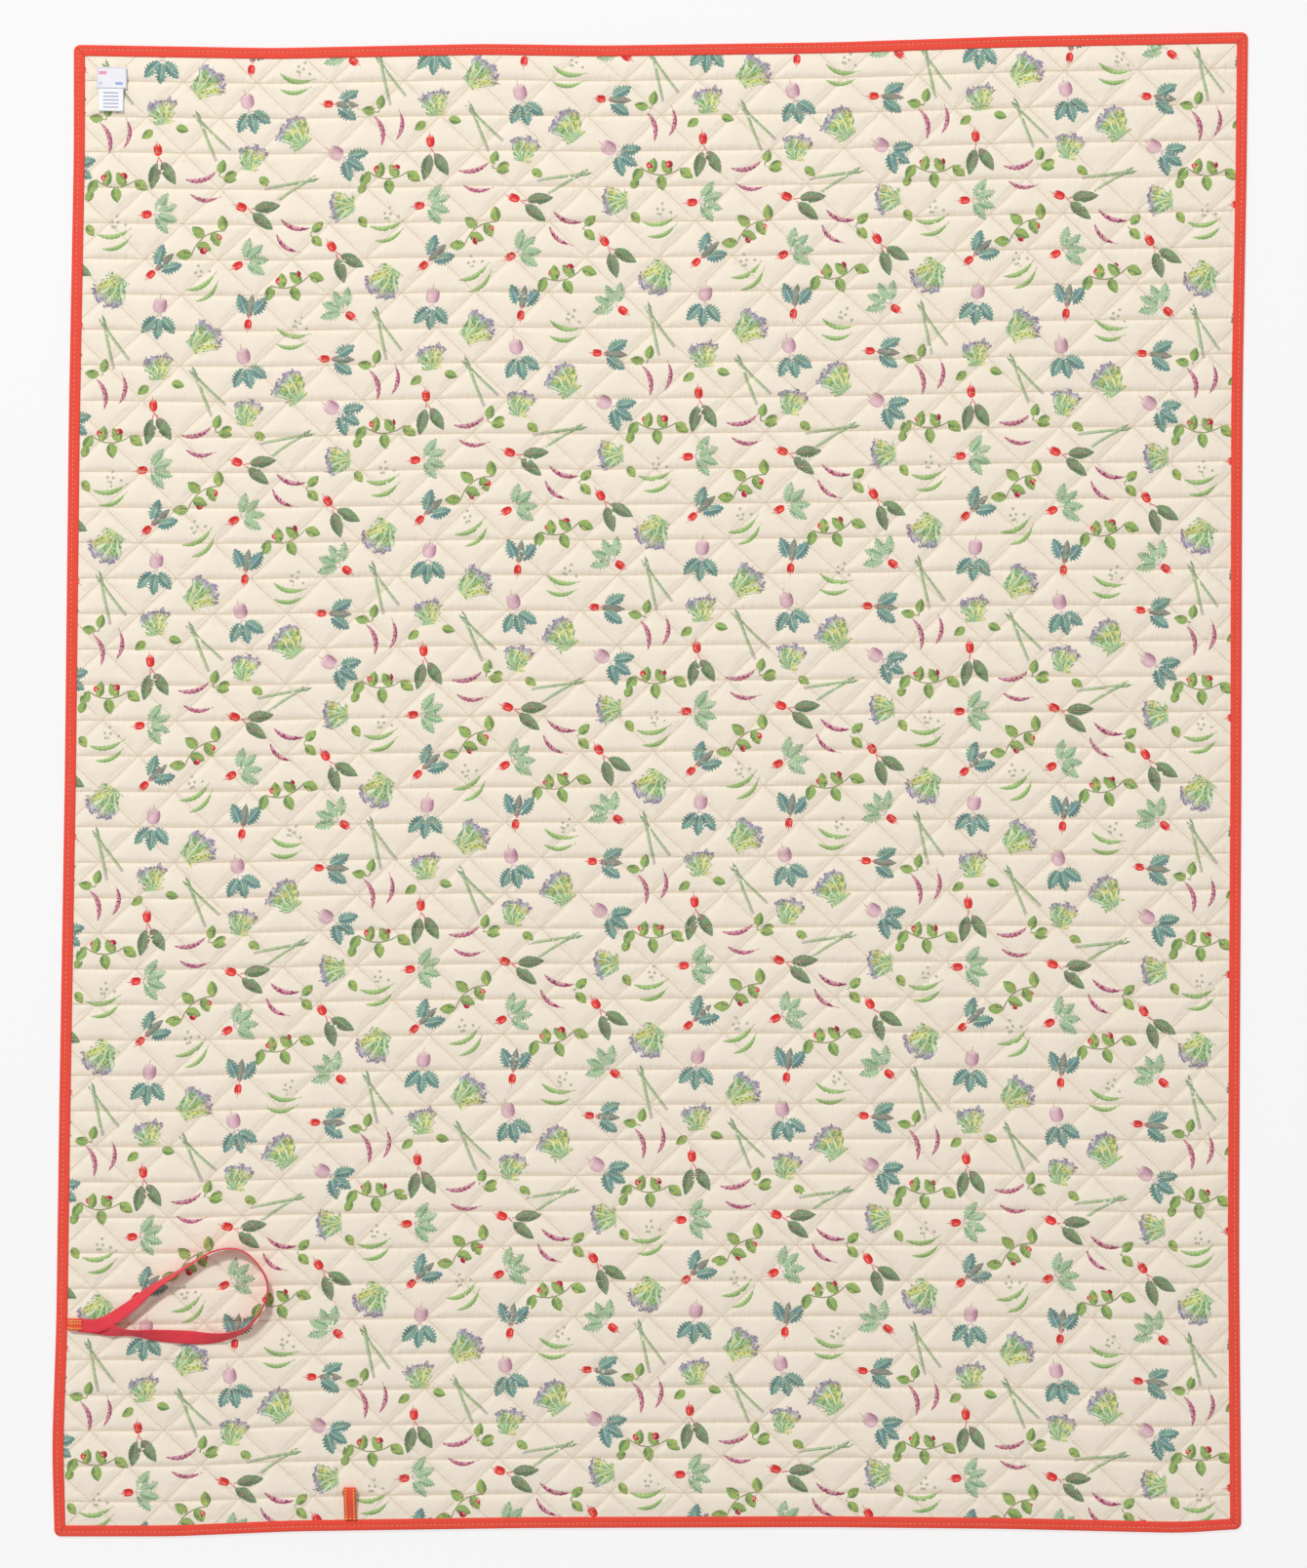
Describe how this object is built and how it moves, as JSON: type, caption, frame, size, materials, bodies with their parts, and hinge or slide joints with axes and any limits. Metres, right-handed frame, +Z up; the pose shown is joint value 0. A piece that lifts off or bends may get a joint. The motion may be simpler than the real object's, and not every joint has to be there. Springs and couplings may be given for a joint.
{
  "type": "camp blanket",
  "caption": "Quilted camp blanket with a printed cover, tape-bound edge, elastic closing loop, hanging loop and sewn labels; folds in half across its middle.",
  "frame": {"origin": "centre of the blanket on the surface it lies on", "axes": "+Z up out of the printed side, +Y along the length towards the labelled end, +X across the width away from the closing strap's edge"},
  "size_m": [1.4, 1.78, 0.0243],
  "materials": {
    "printed_cotton": "matt plain weave",
    "wadding": "fibre fleece",
    "backing_cloth": "coated plain weave",
    "binding_tape": "matt twill",
    "sewing_thread": "spun thread",
    "label_ribbon": "satin ribbon",
    "strap_tape": "matt twill",
    "elastic": "woven elastic"
  },
  "bodies": {
    "lower_half": {"cover_lower": "printed_cotton", "wadding_lower": "wadding", "backing_lower": "backing_cloth", "binding_left_lower": "binding_tape", "binding_right_lower": "binding_tape", "binding_bottom": "binding_tape", "binding_thread_lower": "sewing_thread"},
    "upper_half": {"cover_upper": "printed_cotton", "wadding_upper": "wadding", "backing_upper": "backing_cloth", "binding_left_upper": "binding_tape", "binding_right_upper": "binding_tape", "binding_top": "binding_tape", "binding_thread_upper": "sewing_thread", "brand_label": "label_ribbon", "brand_label_stitching": "sewing_thread"},
    "strap": {"strap_tab": "strap_tape", "strap_tab_stitching": "sewing_thread", "elastic_loop": "elastic"},
    "hanging_loop": {"hang_loop": "strap_tape", "hang_loop_stitching": "sewing_thread"},
    "care_tag": {"care_label": "label_ribbon"}
  },
  "joints": [
    {"name": "fold_half", "type": "hinge", "parent": "lower_half", "child": "upper_half", "pos_m": [0, 0, 0.0125], "axis": [1, 0, 0], "range_deg": [0, 179.5], "deforming": ["elastic_loop"]},
    {"name": "strap_flip", "type": "hinge", "parent": "lower_half", "child": "strap", "pos_m": [-0.6865, -0.636, 0.009], "axis": [0, -1, 0], "range_deg": [0, 170]},
    {"name": "hang_loop_flip", "type": "hinge", "parent": "lower_half", "child": "hanging_loop", "pos_m": [-0.35, -0.8765, 0.0093], "axis": [1, 0, 0], "range_deg": [0, 175]},
    {"name": "care_label_flip", "type": "hinge", "parent": "upper_half", "child": "care_tag", "pos_m": [-0.6583, 0.8397, 0.0095], "axis": [-1, 0, 0], "range_deg": [0, 175]}
  ]
}
